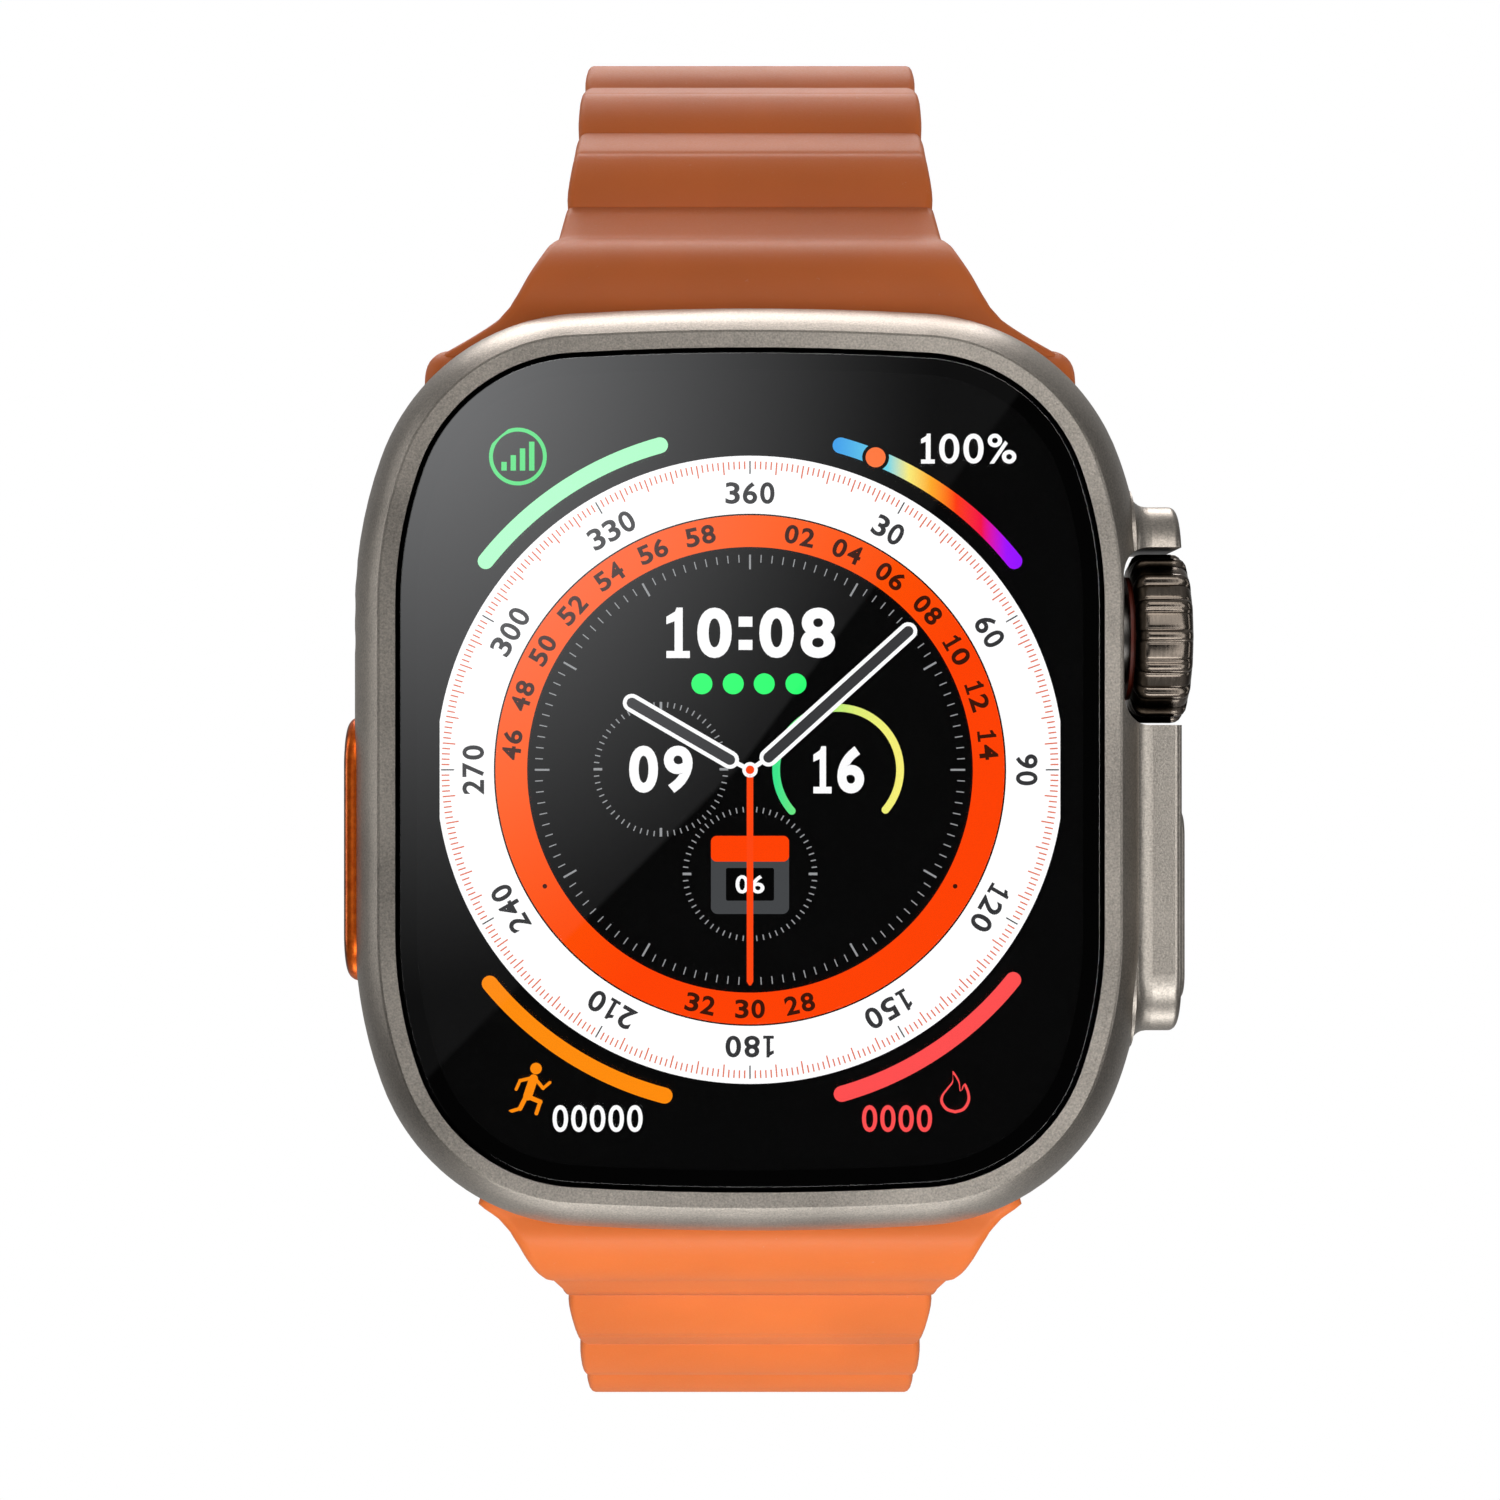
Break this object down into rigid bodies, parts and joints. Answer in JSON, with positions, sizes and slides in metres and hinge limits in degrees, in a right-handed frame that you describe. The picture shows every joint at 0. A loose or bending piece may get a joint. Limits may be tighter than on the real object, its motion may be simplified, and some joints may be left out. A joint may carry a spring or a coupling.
{
  "type": "gps running watch",
  "caption": "Rounded smartwatch in a bulged metal case with a crown guard, ridged crown, side buttons and a two-piece hinged magnetic silicone strap.",
  "frame": {"origin": "centre of the display glass's outer face", "axes": "+Z towards 12 o'clock, +X towards the crown, -Y out of the display; the strap is closed behind the case"},
  "size_m": [0.0448, 0.0641, 0.0845],
  "materials": {
    "anodised_orange": "satin anodised",
    "battery_foil": "matte black wrap",
    "ceramic_dome": "polished dark ceramic and glass",
    "chip_black": "matte",
    "circuit_board": "solder mask",
    "copper": "enamelled winding",
    "dark_steel": "dark coated",
    "diode": "clear epoxy",
    "display_black": "gloss black",
    "magnet": "nickel plated",
    "mesh": "fine woven mesh",
    "sapphire": "polished",
    "seal_rubber": "matte",
    "silicone_accent": "matte",
    "silicone_rear": "matte",
    "steel": "brushed",
    "titanium": "fine bead-blasted titanium"
  },
  "bodies": {
    "action_button": {"action_button": "anodised_orange"},
    "case": {"action_button_seals": "seal_rubber", "battery": "battery_foil", "board_chips": "chip_black", "button_switches": "steel", "charging_coil": "copper", "charging_magnet": "magnet", "crown_switch": "chip_black", "crown_tube": "dark_steel", "display_panel": "display_black", "display_seal": "seal_rubber", "front_glass": "sapphire", "gps_antenna": "copper", "haptic_motor": "steel", "main_board": "circuit_board", "microphone": "steel", "mid_case": "titanium", "rear_cover": "ceramic_dome", "rear_screws": "steel", "rear_seal": "seal_rubber", "sensor_board": "circuit_board", "sensor_leds": "diode", "sensor_window": "ceramic_dome", "side_button_seals": "seal_rubber", "speaker_mesh": "mesh", "speaker_module": "chip_black"},
    "crown": {"crown_accent_ring": "silicone_accent", "crown_knob": "titanium", "crown_seals": "seal_rubber", "crown_stem": "steel"},
    "crown_thrust": {"crown_pusher": "steel"},
    "lower_root": {"lower_lug_catch": "steel", "lower_lug_core": "steel", "lower_strap_root": "silicone_rear"},
    "lower_link_4": {"lower_magnets_4": "magnet", "lower_strap_segment_4": "silicone_rear"},
    "lower_link_5": {"lower_magnets_5": "magnet", "lower_strap_segment_5": "silicone_rear"},
    "lower_release_button": {"lower_release_button": "dark_steel"},
    "lower_link_1": {"lower_strap_segment_1": "silicone_rear"},
    "lower_link_2": {"lower_strap_segment_2": "silicone_rear"},
    "lower_link_3": {"lower_strap_segment_3": "silicone_rear"},
    "side_button": {"side_button": "titanium"},
    "upper_root": {"upper_lug_catch": "steel", "upper_lug_core": "steel", "upper_strap_root": "silicone_rear"},
    "upper_link_4": {"upper_magnets_4": "magnet", "upper_strap_segment_4": "silicone_rear"},
    "upper_link_5": {"upper_magnets_5": "magnet", "upper_strap_segment_5": "silicone_rear"},
    "upper_link_6": {"upper_magnets_6": "magnet", "upper_strap_segment_6": "silicone_rear"},
    "upper_link_7": {"upper_magnets_7": "magnet", "upper_strap_segment_7": "silicone_rear"},
    "upper_release_button": {"upper_release_button": "dark_steel"},
    "upper_link_1": {"upper_strap_segment_1": "silicone_rear"},
    "upper_link_2": {"upper_strap_segment_2": "silicone_rear"},
    "upper_link_3": {"upper_strap_segment_3": "silicone_rear"}
  },
  "joints": [
    {"name": "upper_strap_slide", "type": "slide", "parent": "case", "child": "upper_root", "axis": [1, 0, 0], "range_m": [-0.036, 0.036]},
    {"name": "lower_strap_slide", "type": "slide", "parent": "case", "child": "lower_root", "axis": [1, 0, 0], "range_m": [-0.036, 0.036]},
    {"name": "strap_open", "type": "hinge", "parent": "upper_root", "child": "upper_link_1", "pos_m": [0, 0.01369, 0.02959], "axis": [1, 0, 0], "range_deg": [0, 24]},
    {"name": "upper_hinge_2", "type": "hinge", "parent": "upper_link_1", "child": "upper_link_2", "pos_m": [0, 0.02575, 0.03901], "axis": [1, 0, 0], "range_deg": [0, 28.02]},
    {"name": "upper_hinge_3", "type": "hinge", "parent": "upper_link_2", "child": "upper_link_3", "pos_m": [0, 0.0407, 0.04165], "axis": [1, 0, 0], "range_deg": [0, 33.02]},
    {"name": "upper_hinge_4", "type": "hinge", "parent": "upper_link_3", "child": "upper_link_4", "pos_m": [0, 0.05469, 0.03571], "axis": [1, 0, 0], "range_deg": [0, 41.52]},
    {"name": "upper_hinge_5", "type": "hinge", "parent": "upper_link_4", "child": "upper_link_5", "pos_m": [0, 0.0611, 0.02226], "axis": [1, 0, 0], "range_deg": [0, 25.52]},
    {"name": "upper_hinge_6", "type": "hinge", "parent": "upper_link_5", "child": "upper_link_6", "pos_m": [0, 0.0611, 0.00686], "axis": [1, 0, 0], "range_deg": [0, 6.02]},
    {"name": "upper_hinge_7", "type": "hinge", "parent": "upper_link_6", "child": "upper_link_7", "pos_m": [0, 0.0611, -0.00854], "axis": [1, 0, 0], "range_deg": [0, 6.02]},
    {"name": "lower_hinge_1", "type": "hinge", "parent": "lower_root", "child": "lower_link_1", "pos_m": [0, 0.01475, -0.02815], "axis": [1, 0, 0], "range_deg": [-20.02, 0]},
    {"name": "lower_hinge_2", "type": "hinge", "parent": "lower_link_1", "child": "lower_link_2", "pos_m": [0, 0.02831, -0.03536], "axis": [1, 0, 0], "range_deg": [-22.02, 0]},
    {"name": "lower_hinge_3", "type": "hinge", "parent": "lower_link_2", "child": "lower_link_3", "pos_m": [0, 0.04346, -0.03695], "axis": [1, 0, 0], "range_deg": [-45.02, 0]},
    {"name": "lower_hinge_4", "type": "hinge", "parent": "lower_link_3", "child": "lower_link_4", "pos_m": [0, 0.05488, -0.0277], "axis": [1, 0, 0], "range_deg": [-40.52, 0]},
    {"name": "lower_hinge_5", "type": "hinge", "parent": "lower_link_4", "child": "lower_link_5", "pos_m": [0, 0.05767, -0.01264], "axis": [1, 0, 0], "range_deg": [-10.52, 0]},
    {"name": "crown_press", "type": "slide", "parent": "case", "child": "crown_thrust", "axis": [-1, 0, 0], "range_m": [0, 0.0004]},
    {"name": "crown_turn", "type": "hinge", "parent": "crown_thrust", "child": "crown", "pos_m": [0.0217, 0.0059, 0.007], "axis": [1, 0, 0], "continuous": true},
    {"name": "side_button_press", "type": "slide", "parent": "case", "child": "side_button", "axis": [-1, 0, 0], "range_m": [0, 0.00035]},
    {"name": "action_button_press", "type": "slide", "parent": "case", "child": "action_button", "axis": [1, 0, 0], "range_m": [0, 0.00035]},
    {"name": "upper_release_press", "type": "slide", "parent": "case", "child": "upper_release_button", "axis": [0, -1, 0], "range_m": [0, 0.0005]},
    {"name": "lower_release_press", "type": "slide", "parent": "case", "child": "lower_release_button", "axis": [0, -1, 0], "range_m": [0, 0.0005]}
  ],
  "couplings": [
    {"joint": "upper_hinge_2", "follows": "strap_open", "ratio": 1.1667},
    {"joint": "upper_hinge_3", "follows": "strap_open", "ratio": 1.375},
    {"joint": "upper_hinge_4", "follows": "strap_open", "ratio": 1.7292},
    {"joint": "upper_hinge_5", "follows": "strap_open", "ratio": 1.0625},
    {"joint": "upper_hinge_6", "follows": "strap_open", "ratio": 0.25},
    {"joint": "upper_hinge_7", "follows": "strap_open", "ratio": 0.25},
    {"joint": "lower_hinge_1", "follows": "strap_open", "ratio": -0.83333},
    {"joint": "lower_hinge_2", "follows": "strap_open", "ratio": -0.91667},
    {"joint": "lower_hinge_3", "follows": "strap_open", "ratio": -1.875},
    {"joint": "lower_hinge_4", "follows": "strap_open", "ratio": -1.6875},
    {"joint": "lower_hinge_5", "follows": "strap_open", "ratio": -0.4375}
  ]
}
